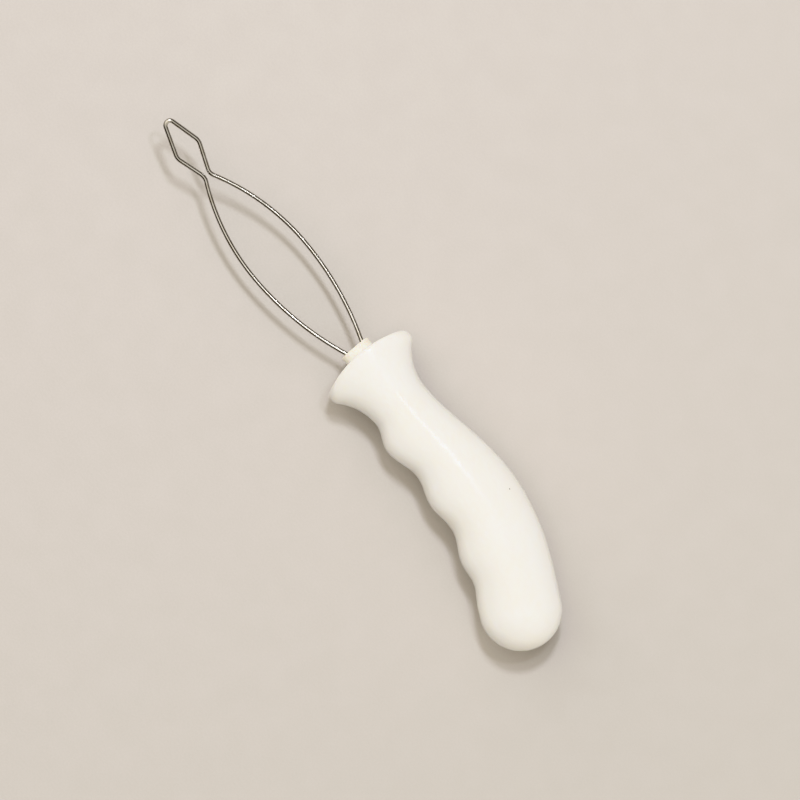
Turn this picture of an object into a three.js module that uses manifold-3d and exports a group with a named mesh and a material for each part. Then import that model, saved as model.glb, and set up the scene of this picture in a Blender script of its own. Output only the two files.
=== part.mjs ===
// A button hook lying on its side: a moulded grip, a plug pressed into its front and a wire hook.
// Millimetres, +Z up. The row frame has +X towards the hook's tip, +Y towards the finger side and
// its origin under the middle of the object, on the surface that it lies on.
//
// Each piece is modelled in the tool's own frame: X is the grip's axis, with x = 0 at the seat of
// the plug's collar, and the hook and the grip's bend lie in the XY plane.
import * as THREE from "three";
import { mergeVertices } from "three/addons/utils/BufferGeometryUtils.js";
import Module from "manifold-3d";

const wasm = await Module();
wasm.setup();

// ---- Driving dimensions -------------------------------------------------------------------

// Clearance between two pieces that touch on the real object.
const clearance = 0.3;

// Wire hook. Widths and lengths are to the wire's centre line.
const wireDiameter = 1.5;
const hookReach = 97.3; // from the plug's face to the tip
const loopWidth = 20.7;
const loopPeakReach = 38; // from the plug's face to where the loop is widest
const noseLength = 21.7; // from the narrow waist to the tip
const noseWidth = 9;
const noseCornerReach = 10.4; // from the waist to the nose's side bends
const waistGap = 1.1; // clear gap between the two wires at the waist
const waistBendRadius = 4;
const cornerBendRadius = 4;
const tipRadius = 1.6;
const noseLean = 1.4; // how far the tip leans from the loop's middle line, towards the grip's back
const hookRise = 8.5; // how far the tip is swept up out of the grip's plane
const hookSweep = 2.5; // power of the sweep: higher keeps the loop flatter and lifts the nose
const legSpacing = 6.6; // between the two legs at the plug's face
const legBendRadius = 3;
const tailLength = 20;

// Plug: a collar that shows and a barbed shank inside the grip.
const collarLength = 2.8;
const collarEdgeRadius = 0.8;
const collarOverhang = 0.4; // how far the collar covers the grip's face round the socket
const tailWall = 0.35; // between a tail's hole and the shank's outside
const shankLength = 34;
const shankChamfer = 1;
const barbHeight = 0.3;
const barbLength = 3;
const barbPitch = 7;

// Grip, front: a flare that is wide across the tool and no taller than the body. Its face bows
// across the tool and is straight up and down.
const flareHalfWidth = 17.2;
const flareHeight = 13.8;
const rimRadius = 3.2; // round of the flare's two sides
const frontEdgeRadius = 1.2; // round of the face's upper and lower edges
const faceBowRadius = 42;
const flareArcRadius = 20;
const socketEndGap = 1.5;

// Grip, body: half-widths are measured from the grip's middle line.
const neckBack = 9.6;
const neckFinger = 11.1;
const neckHeight = 13;
const bellyBack = 15.2;
const bellyHeight = 13.8;
const bellyReach = 68;
const ridgeHalfWidth = 14.1;
const firstRidgeReach = 31;
const ridgePitch = 24.5;
const grooveDepths = [2.2, 1.9, 2.8];
const bendStart = 41;
const bendRadius = 126;
const buttReach = 101.8;
const buttRadius = 13.8;
const buttHeight = 12.8;
const buttBlend = 25;

// The grip bears on the surface under it with small flats of this depth.
const restFlat = 0.12;

// ---- Mesh fineness ------------------------------------------------------------------------

const wireSides = 10;
const plugSides = 32;
const gripSides = 36;
const faceSteps = 3;
const rimSteps = 4;
const flareSteps = 7;
const buttSteps = 7;
const bodyRingPitch = 3.4;
const tightArcStep = THREE.MathUtils.degToRad(14);
const wideArcStep = THREE.MathUtils.degToRad(5);

// ---- Helpers ------------------------------------------------------------------------------

// A closed mesh's geometry as a manifold-3d solid.
function solidFrom(geometry) {
  const bare = geometry.clone();
  bare.deleteAttribute("normal");
  bare.deleteAttribute("uv");
  const merged = mergeVertices(bare, 1e-4);
  return new wasm.Manifold(
    new wasm.Mesh({
      numProp: 3,
      vertProperties: merged.attributes.position.array,
      triVerts: new Uint32Array(merged.index.array),
    }),
  );
}

// A manifold-3d solid as three.js geometry.
function geometryFrom(solid) {
  const { vertProperties, triVerts } = solid.getMesh();
  const geometry = new THREE.BufferGeometry();
  geometry.setAttribute("position", new THREE.BufferAttribute(vertProperties, 3));
  geometry.setIndex(new THREE.BufferAttribute(triVerts, 1));
  geometry.computeVertexNormals();
  return geometry;
}

function namedMesh(name, geometry, color, roughness, metalness) {
  const material = new THREE.MeshStandardMaterial({ color, roughness, metalness });
  const mesh = new THREE.Mesh(geometry, material);
  mesh.name = name;
  return mesh;
}

// Points of a circular arc, both ends included.
function arcPoints(center, radius, from, to, step) {
  const count = Math.max(2, Math.ceil(Math.abs(to - from) / step));
  return Array.from({ length: count + 1 }, (_, i) => {
    const angle = from + ((to - from) * i) / count;
    return new THREE.Vector2(
      center.x + radius * Math.cos(angle),
      center.y + radius * Math.sin(angle),
    );
  });
}

// A path through given stations, which an extrusion visits one by one.
class StationPath extends THREE.Curve {
  constructor(stations) {
    super();
    this.stations = stations;
  }
  getPoint(t, target = new THREE.Vector3()) {
    const last = this.stations.length - 1;
    const place = THREE.MathUtils.clamp(t, 0, 1) * last;
    const index = Math.min(Math.floor(place), last - 1);
    return target.lerpVectors(this.stations[index], this.stations[index + 1], place - index);
  }
  getUtoTmapping(u) {
    return u;
  }
}

// ---- Wire hook ----------------------------------------------------------------------------

const faceX = clearance + collarLength; // the plug's front face
const waistReach = hookReach - noseLength;

// The leg bows out along a wide arc from the plug's face to the loop's widest point. Inside the
// plug a small bend turns it parallel to the axis, into its tail.
const legRise = (loopWidth - legSpacing) / 2;
const legArcRadius = (loopPeakReach ** 2 + legRise ** 2) / (2 * legRise);
const legAngle = Math.asin(loopPeakReach / legArcRadius);
const tailY = legSpacing / 2 - legBendRadius * (1 - Math.cos(legAngle));

// One side of the hook's centre line, flat, from the end of its tail to the tip.
function hookSide() {
  const half = loopWidth / 2;
  const waistHalf = (waistGap + wireDiameter) / 2;
  const tailEnd = new THREE.Vector2(-tailLength, tailY);
  const bendCenter = new THREE.Vector2(
    -legBendRadius * Math.sin(legAngle),
    tailY + legBendRadius,
  );
  const legCenter = new THREE.Vector2(loopPeakReach, half - legArcRadius);

  // Ahead of the widest point a second wide arc runs in, and meets the waist's bend in line.
  const waistCenter = new THREE.Vector2(waistReach, waistHalf + waistBendRadius);
  const run = waistReach - loopPeakReach;
  const drop = waistCenter.y - half;
  const frontArcRadius =
    (run ** 2 + drop ** 2 - waistBendRadius ** 2) / (2 * (waistBendRadius - drop));
  const frontCenter = new THREE.Vector2(loopPeakReach, half - frontArcRadius);
  const meetAngle = Math.atan2(waistCenter.y - frontCenter.y, waistCenter.x - frontCenter.x);

  // The nose: a straight side from the waist to the corner, and one from the corner to the tip.
  const cornerCenter = new THREE.Vector2(
    waistReach + noseCornerReach,
    noseWidth / 2 - cornerBendRadius,
  );
  const tipCenter = new THREE.Vector2(hookReach - tipRadius, 0);
  const toCorner = cornerCenter.clone().sub(waistCenter);
  const outAngle =
    Math.atan2(toCorner.y, toCorner.x) +
    Math.asin((waistBendRadius + cornerBendRadius) / toCorner.length());
  const toTip = tipCenter.clone().sub(cornerCenter);
  const inAngle =
    Math.atan2(toTip.y, toTip.x) - Math.asin((cornerBendRadius - tipRadius) / toTip.length());

  const quarter = Math.PI / 2;
  return [
    tailEnd,
    ...arcPoints(bendCenter, legBendRadius, -quarter, legAngle - quarter, tightArcStep),
    ...arcPoints(legCenter, legArcRadius, quarter + legAngle, quarter, wideArcStep).slice(1),
    ...arcPoints(frontCenter, frontArcRadius, quarter, meetAngle, wideArcStep).slice(1),
    ...arcPoints(
      waistCenter,
      waistBendRadius,
      meetAngle - Math.PI,
      outAngle - quarter,
      tightArcStep,
    ).slice(1),
    ...arcPoints(
      cornerCenter,
      cornerBendRadius,
      outAngle + quarter,
      inAngle + quarter,
      tightArcStep,
    ),
    ...arcPoints(tipCenter, tipRadius, inAngle + quarter, 0, tightArcStep),
  ];
}

// The hook's set: the nose leans to one side and the whole hook is swept up a little.
function setInSpace(point) {
  const lean = (noseLean * Math.max(0, point.x - waistReach)) / noseLength;
  const rise = hookRise * Math.max(0, point.x / hookReach) ** hookSweep;
  return new THREE.Vector3(point.x + faceX, point.y - lean, rise);
}

// The hook's stations from one tail's end to the other's, with both tails longer by extra.
function hookStations(extra) {
  const side = hookSide();
  side[0].x -= extra;
  const mirrored = side
    .slice(0, -1)
    .reverse()
    .map((point) => new THREE.Vector2(point.x, -point.y));
  return [...side, ...mirrored].map(setInSpace);
}

// A round wire of the given radius along the hook.
function wireGeometry(radius, extra) {
  const section = new THREE.Shape(
    Array.from({ length: wireSides }, (_, i) => {
      const angle = (2 * Math.PI * i) / wireSides;
      return new THREE.Vector2(radius * Math.cos(angle), radius * Math.sin(angle));
    }),
  );
  const stations = hookStations(extra);
  return new THREE.ExtrudeGeometry(section, {
    steps: stations.length - 1,
    extrudePath: new StationPath(stations),
    bevelEnabled: false,
  });
}

// ---- Plug ---------------------------------------------------------------------------------

const shankRadius = tailY + wireDiameter / 2 + clearance + tailWall;
const barbRadius = shankRadius + barbHeight;
const socketRadius = barbRadius + clearance;
const collarRadius = socketRadius + collarOverhang;

function plugGeometry() {
  const profile = [
    new THREE.Vector2(0, -shankLength),
    new THREE.Vector2(shankRadius - shankChamfer, -shankLength),
    new THREE.Vector2(shankRadius, -shankLength + shankChamfer),
  ];
  // Each barb slopes up from the shank's end and has a steep front, so it holds in the grip.
  const firstBarb = -shankLength + 2 * shankChamfer;
  const barbRoom = barbLength + 2 * barbHeight;
  for (let start = firstBarb; start + barbRoom < 0; start += barbPitch) {
    profile.push(new THREE.Vector2(shankRadius, start));
    profile.push(new THREE.Vector2(barbRadius, start + barbLength));
    profile.push(new THREE.Vector2(shankRadius, start + barbLength + barbHeight));
  }
  const edgeCenter = new THREE.Vector2(collarRadius - collarEdgeRadius, faceX - collarEdgeRadius);
  profile.push(
    new THREE.Vector2(shankRadius, clearance),
    new THREE.Vector2(collarRadius, clearance),
    ...arcPoints(edgeCenter, collarEdgeRadius, 0, Math.PI / 2, Math.PI / 8),
    new THREE.Vector2(0, faceX),
  );
  const turned = new THREE.LatheGeometry(profile, plugSides);
  turned.rotateZ(-Math.PI / 2);
  const holes = wireGeometry(wireDiameter / 2 + clearance, clearance);
  return geometryFrom(solidFrom(turned).subtract(solidFrom(holes)));
}

// ---- Grip ---------------------------------------------------------------------------------

const seatRadius = collarRadius + clearance;
const faceApex = -(collarRadius ** 2) / (2 * faceBowRadius);

// Reach of the bowed face at a distance y from the middle. It passes the collar's edge at 0.
function faceReach(y) {
  return faceApex + faceBowRadius - Math.sqrt(faceBowRadius ** 2 - y ** 2);
}

// The round of each side is centred on a point this far out, and starts where the face ends.
const rimCenter = flareHalfWidth - rimRadius;
const faceHalfWidth = (rimCenter * faceBowRadius) / (faceBowRadius - rimRadius);
const faceHalfHeight = flareHeight - frontEdgeRadius;
const faceAngle = Math.asin(faceHalfWidth / faceBowRadius);
const rimReach = faceReach(faceHalfWidth) + rimRadius * Math.cos(faceAngle);
const flareEnd = firstRidgeReach - ridgePitch / 2;

// Where the flare's hollow arc, tangent to the rim's round, reaches a neck of this half-width.
function neckReach(neck) {
  const rise = neck + flareArcRadius - rimCenter;
  return rimReach + Math.sqrt((flareArcRadius + rimRadius) ** 2 - rise ** 2);
}

// Half-width of the flare at a reach behind the seat, for a side whose neck has this half-width.
function flareHalf(reach, neck) {
  const end = neckReach(neck);
  const tangent = rimReach + ((end - rimReach) * rimRadius) / (rimRadius + flareArcRadius);
  if (reach < tangent) {
    return rimCenter + Math.sqrt(Math.max(0, rimRadius ** 2 - (reach - rimReach) ** 2));
  }
  return neck + flareArcRadius - Math.sqrt(flareArcRadius ** 2 - (end - reach) ** 2);
}

// From a to b as reach goes from start to end, level at both.
function ease(a, b, reach, start, end) {
  return a + (b - a) * THREE.MathUtils.smoothstep(reach, start, end);
}

// The end of each side runs smoothly into the round butt.
function towardsButt(half, butt, reach) {
  return ease(half, butt, reach, buttReach - buttBlend, buttReach);
}

function backHalf(reach) {
  const neck = neckReach(neckBack);
  if (reach < neck) return flareHalf(reach, neckBack);
  return towardsButt(ease(neckBack, bellyBack, reach, neck, bellyReach), buttRadius, reach);
}

function heightHalf(reach) {
  if (reach < flareEnd) return ease(flareHeight, neckHeight, reach, rimReach, flareEnd);
  const half = ease(neckHeight, bellyHeight, reach, flareEnd, bellyReach);
  return towardsButt(half, buttHeight, reach);
}

// The finger side: four hollows for the fingers, with a ridge between each two.
function fingerHalf(reach) {
  const neck = neckReach(neckFinger);
  if (reach < neck) return flareHalf(reach, neckFinger);
  if (reach < firstRidgeReach) {
    const wave = (1 - Math.cos((Math.PI * (reach - neck)) / (firstRidgeReach - neck))) / 2;
    return neckFinger + (ridgeHalfWidth - neckFinger) * wave;
  }
  const turns = (reach - firstRidgeReach) / ridgePitch;
  const depth = grooveDepths[Math.floor(turns)] ?? 0;
  const half = ridgeHalfWidth - (depth * (1 - Math.cos(2 * Math.PI * turns))) / 2;
  return towardsButt(half, buttRadius, reach);
}

// The middle line at a reach behind the seat, and its direction: straight, then a bend.
function spineAt(reach) {
  const angle = Math.max(0, reach - bendStart) / bendRadius;
  const straight = Math.min(reach, bendStart);
  const center = new THREE.Vector3(
    -straight - bendRadius * Math.sin(angle),
    bendRadius * (1 - Math.cos(angle)),
    0,
  );
  const along = new THREE.Vector3(-Math.cos(angle), Math.sin(angle), 0);
  const toFinger = new THREE.Vector3(Math.sin(angle), Math.cos(angle), 0);
  return { center, along, toFinger };
}

// Angles round the grip, from the finger side. A quarter turn is the top.
const gripAngles = Array.from({ length: gripSides }, (_, i) => (2 * Math.PI * i) / gripSides);

// A ring of points about the straight part of the grip's axis, from each angle's place.
function frontRing(place) {
  return gripAngles.map((angle) => {
    const { reach, width, height } = place(angle);
    return new THREE.Vector3(-reach, width * Math.cos(angle), height * Math.sin(angle));
  });
}

function roundRing(reach, radius) {
  return frontRing(() => ({ reach, width: radius, height: radius }));
}

// One ring of the face, from the seat (part 0) to the face's edge (part 1).
function faceRing(part) {
  const width = THREE.MathUtils.lerp(seatRadius, faceHalfWidth, part);
  const height = THREE.MathUtils.lerp(seatRadius, faceHalfHeight, part);
  return frontRing((angle) => ({ reach: faceReach(width * Math.cos(angle)), width, height }));
}

// The face's edge at an angle round the grip: its radius, and the slope that it starts at.
function edgeAt(angle) {
  const sideways = Math.cos(angle) ** 2;
  const radius = THREE.MathUtils.lerp(frontEdgeRadius, rimRadius, sideways);
  const slope = faceAngle * sideways;
  const reach = faceReach(faceHalfWidth * Math.cos(angle)) + radius * Math.cos(slope);
  return { radius, slope, reach };
}

// One ring over the face's rounded edge, from the face (part 0) to the flare's outside (part 1).
function edgeRing(part) {
  const quarter = Math.PI / 2;
  const side = THREE.MathUtils.lerp(faceAngle, quarter, part);
  const width = rimCenter + rimRadius * Math.sin(side);
  const height = faceHalfHeight + frontEdgeRadius * Math.sin(quarter * part);
  return frontRing((angle) => {
    const edge = edgeAt(angle);
    const turn = THREE.MathUtils.lerp(edge.slope, quarter, part);
    return { reach: edge.reach - edge.radius * Math.cos(turn), width, height };
  });
}

// How far a ring of the flare is drawn forward at an angle, to end on the face's edge.
function drawnForward(reach, angle) {
  return ease(rimReach - edgeAt(angle).reach, 0, reach, rimReach, flareEnd);
}

// One ring of points across the body, from its half-widths: each quarter is a quarter ellipse.
function ring(frame, offset, finger, back, height) {
  return gripAngles.map((angle) => {
    const side = Math.cos(angle) * (Math.cos(angle) > 0 ? finger : back);
    return frame.center
      .clone()
      .addScaledVector(frame.along, offset(angle))
      .addScaledVector(frame.toFinger, side)
      .add(new THREE.Vector3(0, 0, height * Math.sin(angle)));
  });
}

// The grip's rings from the socket's floor, out over the face and its edge, and back to the butt.
function gripRings() {
  const socketDepth = shankLength + socketEndGap;
  const rings = [roundRing(socketDepth, socketRadius), roundRing(0, socketRadius)];
  rings.push(roundRing(0, seatRadius));
  for (let i = 0; i <= faceSteps; i++) rings.push(faceRing(i / faceSteps));
  for (let i = 1; i <= rimSteps; i++) rings.push(edgeRing(i / rimSteps));

  // The body, with closer rings over the rim and the flare than over the long belly.
  const bodySteps = Math.ceil((buttReach - flareEnd) / bodyRingPitch);
  const reaches = [];
  for (let i = 1; i <= flareSteps; i++) {
    reaches.push(rimReach + ((flareEnd - rimReach) * i) / flareSteps);
  }
  for (let i = 1; i <= bodySteps; i++) {
    reaches.push(flareEnd + ((buttReach - flareEnd) * i) / bodySteps);
  }
  for (const reach of reaches) {
    const forward = (angle) => -drawnForward(reach, angle);
    const halves = [fingerHalf(reach), backHalf(reach), heightHalf(reach)];
    rings.push(ring(spineAt(reach), forward, ...halves));
  }

  // The round butt closes the middle line's end.
  for (let i = 1; i < buttSteps; i++) {
    const angle = (Math.PI / 2) * (i / buttSteps);
    const shrink = Math.cos(angle);
    const offset = buttRadius * Math.sin(angle);
    const width = buttRadius * shrink;
    rings.push(ring(spineAt(buttReach), () => offset, width, width, buttHeight * shrink));
  }
  const end = spineAt(buttReach);
  return {
    rings,
    floor: new THREE.Vector3(-socketDepth, 0, 0),
    tip: end.center.clone().addScaledVector(end.along, buttRadius),
  };
}

// A closed skin over the rings, with a point at each end.
function skinGeometry({ rings, floor, tip }) {
  const points = [floor, ...rings.flat(), tip];
  const index = [];
  const at = (row, column) => 1 + row * gripSides + (column % gripSides);
  for (let column = 0; column < gripSides; column++) {
    index.push(0, at(0, column), at(0, column + 1));
    for (let row = 0; row + 1 < rings.length; row++) {
      const [a, b] = [at(row, column), at(row, column + 1)];
      const [c, d] = [at(row + 1, column), at(row + 1, column + 1)];
      index.push(a, c, b, b, c, d);
    }
    index.push(at(rings.length - 1, column + 1), at(rings.length - 1, column), points.length - 1);
  }
  const geometry = new THREE.BufferGeometry().setFromPoints(points);
  geometry.setIndex(index);
  return geometry;
}

// ---- How the tool lies --------------------------------------------------------------------

// The tool lies on the flare and on whichever part of the body touches next.
function restAngle(points) {
  const front = points.filter((point) => point.x > -flareEnd);
  const rear = points.filter((point) => point.x <= -flareEnd);
  const lowest = (set, angle) =>
    Math.min(...set.map((p) => p.z * Math.cos(angle) + p.x * Math.sin(angle)));
  let [low, high] = [0, Math.PI / 6];
  for (let i = 0; i < 40; i++) {
    const angle = (low + high) / 2;
    if (lowest(front, angle) < lowest(rear, angle)) low = angle;
    else high = angle;
  }
  return { angle: high, height: -lowest(front, high) - restFlat };
}

const gripSkin = gripRings();
const rest = restAngle(gripSkin.rings.flat());

// The grip's underside is cut level with the surface, which leaves its flats.
function gripGeometry() {
  const reach = 4 * (buttReach + buttRadius);
  const above = new THREE.BoxGeometry(reach, reach, reach);
  above.translate(0, 0, reach / 2 - rest.height);
  above.rotateY(rest.angle);
  return geometryFrom(solidFrom(skinGeometry(gripSkin)).intersect(solidFrom(above)));
}

// ---- Assembly -----------------------------------------------------------------------------

const tool = new THREE.Group();
tool.add(
  namedMesh("grip", gripGeometry(), 0xf1eee4, 0.4, 0),
  namedMesh("plug", plugGeometry(), 0xf3efdf, 0.35, 0),
  namedMesh("wire_hook", wireGeometry(wireDiameter / 2, 0), 0xb9b9b6, 0.2, 1),
);
tool.rotation.y = -rest.angle;
tool.position.z = rest.height;

// The origin is under the middle of the whole object.
const part = new THREE.Group();
part.add(tool);
part.updateMatrixWorld(true);
const middle = new THREE.Box3().setFromObject(part, true).getCenter(new THREE.Vector3());
tool.position.x -= middle.x;
tool.position.y -= middle.y;

export default part;
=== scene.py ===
"""A button hook: a moulded finger grip, its plug and a bent wire hook, lying on a pale floor.

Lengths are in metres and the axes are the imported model's: +X towards the hook's tip, +Y towards
the finger side, +Z up, with the surface that the tool lies on at z = 0. Each piece is shaped in
the tool's own frame first, where X is the grip's axis and x = 0 is the seat of the plug's collar.
"""

import math
from types import SimpleNamespace

import bpy
import numpy as np
from bpy.props import FloatProperty, FloatVectorProperty, IntProperty, PointerProperty
from bpy.types import Operator, Panel, PropertyGroup
from mathutils import Matrix, Vector, noise


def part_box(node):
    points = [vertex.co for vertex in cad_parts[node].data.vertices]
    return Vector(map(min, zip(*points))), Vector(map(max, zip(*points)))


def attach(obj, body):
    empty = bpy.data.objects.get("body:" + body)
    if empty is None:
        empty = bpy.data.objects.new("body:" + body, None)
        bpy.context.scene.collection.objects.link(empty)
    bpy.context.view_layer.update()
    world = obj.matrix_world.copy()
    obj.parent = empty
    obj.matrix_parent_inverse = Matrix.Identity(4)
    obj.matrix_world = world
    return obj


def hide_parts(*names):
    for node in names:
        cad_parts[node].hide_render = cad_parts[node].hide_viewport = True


bl_info = {
    "name": "Button Hook",
    "version": (1, 0, 0),
    "blender": (4, 5, 0),
    "location": "3D View > Sidebar > Button Hook",
    "description": "Builds a button hook with a moulded finger grip, and its stage",
    "category": "Add Mesh",
}

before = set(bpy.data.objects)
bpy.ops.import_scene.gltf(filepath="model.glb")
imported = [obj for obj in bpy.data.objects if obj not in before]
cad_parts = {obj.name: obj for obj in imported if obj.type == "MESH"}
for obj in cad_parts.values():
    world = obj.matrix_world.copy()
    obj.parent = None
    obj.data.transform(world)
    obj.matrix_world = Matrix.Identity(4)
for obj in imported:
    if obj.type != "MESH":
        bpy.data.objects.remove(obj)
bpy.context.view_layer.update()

PANEL_TAB = "Button Hook"
QUARTER = math.pi / 2
UP = Vector((0, 0, 1))


# ---- Sizes and colours ----


def length(name, description, default):
    return FloatProperty(
        name=name, description=description, default=default, unit="LENGTH", precision=5
    )


def colour(name, description, default):
    return FloatVectorProperty(
        name=name,
        description=description,
        default=default,
        size=3,
        min=0.0,
        max=1.0,
        subtype="COLOR",
    )


def direction(name, description, default):
    return FloatVectorProperty(
        name=name, description=description, default=default, subtype="DIRECTION"
    )


def angle(name, description, default):
    return FloatProperty(name=name, description=description, default=default, subtype="ANGLE")


def watts(name, description, default):
    return FloatProperty(name=name, description=description, default=default, unit="POWER")


def plain(name, description, default):
    return FloatProperty(name=name, description=description, default=default, min=0.0)


class BUTTONHOOK_PG_hook(PropertyGroup):
    wire_diameter: length("Wire diameter", "Diameter of the hook's wire", 0.0015)
    reach: length("Reach", "From the plug's face to the tip", 0.0973)
    loop_width: length("Loop width", "Between the wires where the loop is widest", 0.0207)
    loop_peak: length("Loop peak", "From the plug's face to the loop's widest place", 0.038)
    nose_length: length("Nose length", "From the narrow waist to the tip", 0.0217)
    nose_width: length("Nose width", "Between the wires at the nose's corners", 0.009)
    nose_corner: length("Nose corner", "From the waist to the nose's corners", 0.0104)
    waist_gap: length("Waist gap", "Clear gap between the two wires at the waist", 0.0011)
    waist_radius: length("Waist radius", "Bend of each wire at the waist", 0.004)
    corner_radius: length("Corner radius", "Bend of each wire at the nose's corner", 0.004)
    tip_radius: length("Tip radius", "Bend of the wire at the tip", 0.0016)
    nose_lean: length("Nose lean", "How far the tip leans to the grip's back", 0.0014)
    rise: length("Rise", "How far the tip is swept up out of the grip's plane", 0.0085)
    sweep: plain("Sweep", "Power of the rise: higher keeps the loop flatter", 2.5)
    leg_spacing: length("Leg spacing", "Between the legs at the plug's face", 0.0066)
    leg_radius: length("Leg bend", "Bend of each leg inside the plug", 0.003)
    tail: length("Tail", "How far each leg goes into the plug", 0.02)
    tail_softening: plain("Tail softening", "Softened share of the radius at each cut end", 0.15)
    station_pitch: length("Station pitch", "Most between two stations along the wire", 0.0008)
    sides: IntProperty(name="Sides", description="Sides of the wire's section", default=32, min=8)
    steel: colour("Steel", "Colour of the bright wire", (0.50, 0.485, 0.46))


class BUTTONHOOK_PG_plug(PropertyGroup):
    collar_length: length("Collar length", "How far the collar stands out", 0.0028)
    collar_edge: length("Collar edge", "Rounding of the collar's front edge", 0.0008)
    collar_overhang: length("Collar overhang", "How far the collar covers the grip", 0.0004)
    clearance: length("Clearance", "Room round the shank in its socket", 0.0003)
    joint_gap: length("Joint gap", "Fine gap between the collar and the grip", 0.00005)
    hole_gap: length("Hole gap", "Fine gap round each leg in its hole", 0.00003)
    hole_flare: length("Hole flare", "Countersink round each hole at the face", 0.00022)
    tail_wall: length("Tail wall", "Plastic outside each tail", 0.00035)
    shank_length: length("Shank length", "How far the shank goes into the grip", 0.034)
    shank_chamfer: length("Shank chamfer", "Chamfer on the shank's end", 0.001)
    barb_height: length("Barb height", "How far a barb stands out", 0.0003)
    barb_length: length("Barb length", "Length of a barb's slope", 0.003)
    barb_pitch: length("Barb pitch", "Distance between barbs", 0.007)
    corner: length("Corner", "Softening of the collar's sharp corners", 0.00012)
    hole_pitch: length("Hole pitch", "Most between two stations along a hole", 0.0004)
    hole_past: length("Hole past", "How far each hole's cutter runs past the face", 0.001)
    sides: IntProperty(name="Sides", description="Sides of the turned plug", default=96, min=16)
    cream: colour("Cream", "Colour of the plug's plastic", (0.88, 0.855, 0.79))


class BUTTONHOOK_PG_grip(PropertyGroup):
    flare_half_width: length("Flare half-width", "Half-width of the flare", 0.0172)
    flare_height: length("Flare height", "Half-height of the flare", 0.0138)
    rim_radius: length("Rim radius", "Rounding of the flare's two sides", 0.0032)
    front_edge: length("Front edge", "Rounding of the face's upper and lower edges", 0.0012)
    face_bow: length("Face bow", "Radius of the face's bow across the tool", 0.042)
    flare_arc: length("Flare arc", "Hollow arc from the flare to the neck", 0.02)
    neck_back: length("Neck, back", "Half-width of the neck on the back side", 0.0096)
    neck_finger: length("Neck, fingers", "Half-width of the neck on the finger side", 0.0111)
    neck_height: length("Neck height", "Half-height of the neck", 0.013)
    belly_back: length("Belly, back", "Half-width of the belly on the back side", 0.0152)
    belly_height: length("Belly height", "Half-height of the belly", 0.0138)
    belly_reach: length("Belly reach", "From the seat to the fullest place", 0.068)
    ridge: length("Ridge", "Half-width at the ridges between the fingers", 0.0141)
    first_ridge: length("First ridge", "From the seat to the first ridge", 0.031)
    ridge_pitch: length("Ridge pitch", "Distance between two ridges", 0.0245)
    groove_1: length("Second hollow", "Depth of the second finger's hollow", 0.0022)
    groove_2: length("Third hollow", "Depth of the third finger's hollow", 0.0019)
    groove_3: length("Fourth hollow", "Depth of the fourth finger's hollow", 0.0028)
    bend_start: length("Bend start", "From the seat to where the grip starts to bend", 0.041)
    bend_radius: length("Bend radius", "Radius of the grip's bend", 0.126)
    butt_reach: length("Butt reach", "From the seat to the butt's centre", 0.1018)
    butt_radius: length("Butt radius", "Half-width of the round butt", 0.0138)
    butt_height: length("Butt height", "Half-height of the round butt", 0.0128)
    butt_blend: length("Butt blend", "Length over which the sides run into the butt", 0.025)
    rest_flat: length("Rest flat", "Depth of the small flats that the grip lies on", 0.00012)
    socket_end_gap: length("Socket end gap", "Room past the shank's end", 0.0015)
    seam_height: length("Seam height", "How far the moulding seam stands out", 0.00005)
    seam_half_turn: angle("Seam half-turn", "Half of the seam, as a turn round the grip", 0.022)
    socket_mouth: length("Socket mouth", "Softening of the socket's mouth", 0.0002)
    ripple: length("Ripple", "Depth of the soft ripple left by the mould", 0.00004)
    ripple_pitch: length("Ripple pitch", "Size of one ripple", 0.011)
    sides: IntProperty(name="Sides", description="Columns round the grip", default=144, min=24)
    ring_pitch: length("Ring pitch", "Distance between two rings of the body", 0.0007)
    ivory: colour("Ivory", "Colour of the grip's plastic", (0.865, 0.85, 0.815))
    speck_reach: length("Speck reach", "From the seat to the dark speck in the plastic", 0.0643)
    speck_turn: angle("Speck turn", "Turn from the finger side to the speck", math.radians(138))
    speck_core: length("Speck core", "Radius of the speck's dark middle", 0.0002)
    speck_edge: length("Speck edge", "Radius at which the speck has faded out", 0.00042)


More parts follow.
